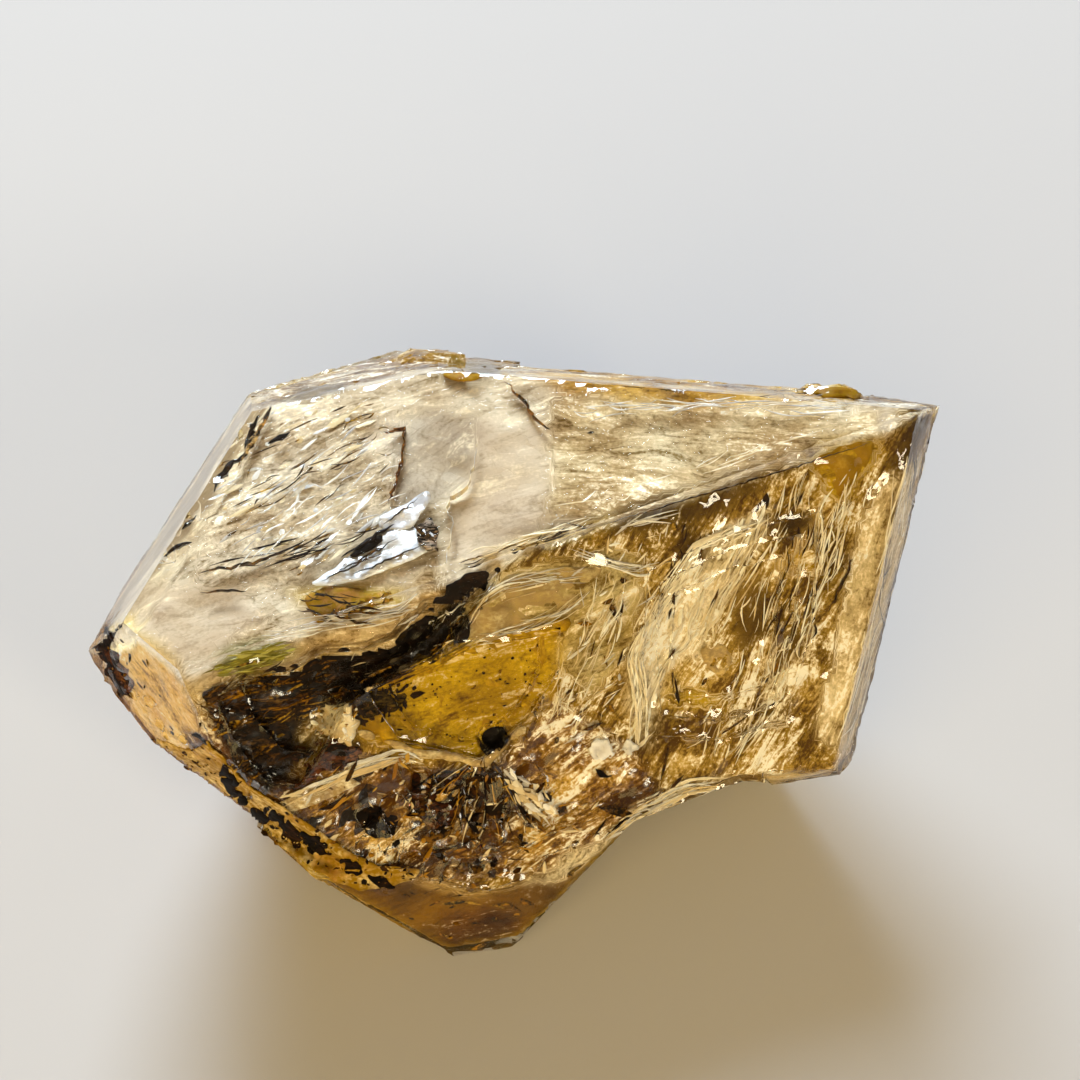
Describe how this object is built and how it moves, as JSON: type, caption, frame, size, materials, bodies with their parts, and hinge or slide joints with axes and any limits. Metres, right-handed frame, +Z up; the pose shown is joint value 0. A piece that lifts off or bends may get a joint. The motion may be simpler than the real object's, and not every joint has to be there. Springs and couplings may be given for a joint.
{
  "type": "skeletal quartz crystal",
  "caption": "Natural quartz crystal of flat faces lying on its side, with a stepped hopper hollow, a broken clay-filled front and a rough foot.",
  "frame": {"origin": "middle of the outline's box, on the plane that the crystal rests on", "axes": "+X along the crystal's length towards its pointed right tip, -Y towards the broken front, +Z up from the resting plane"},
  "size_m": [0.041, 0.0294, 0.0185],
  "materials": {
    "clear_quartz": "clear, faintly smoky yellow quartz with glassy crystal faces, silvery inner fractures and brown clay and iron stains inside",
    "clay_and_iron_stain": "dull amber to near-black clay and rust caught in the crystal",
    "silvery_fracture": "bright white cracks and wisps inside the crystal"
  },
  "bodies": {
    "root": {"quartz_crystal": "clear_quartz"}
  },
  "joints": []
}
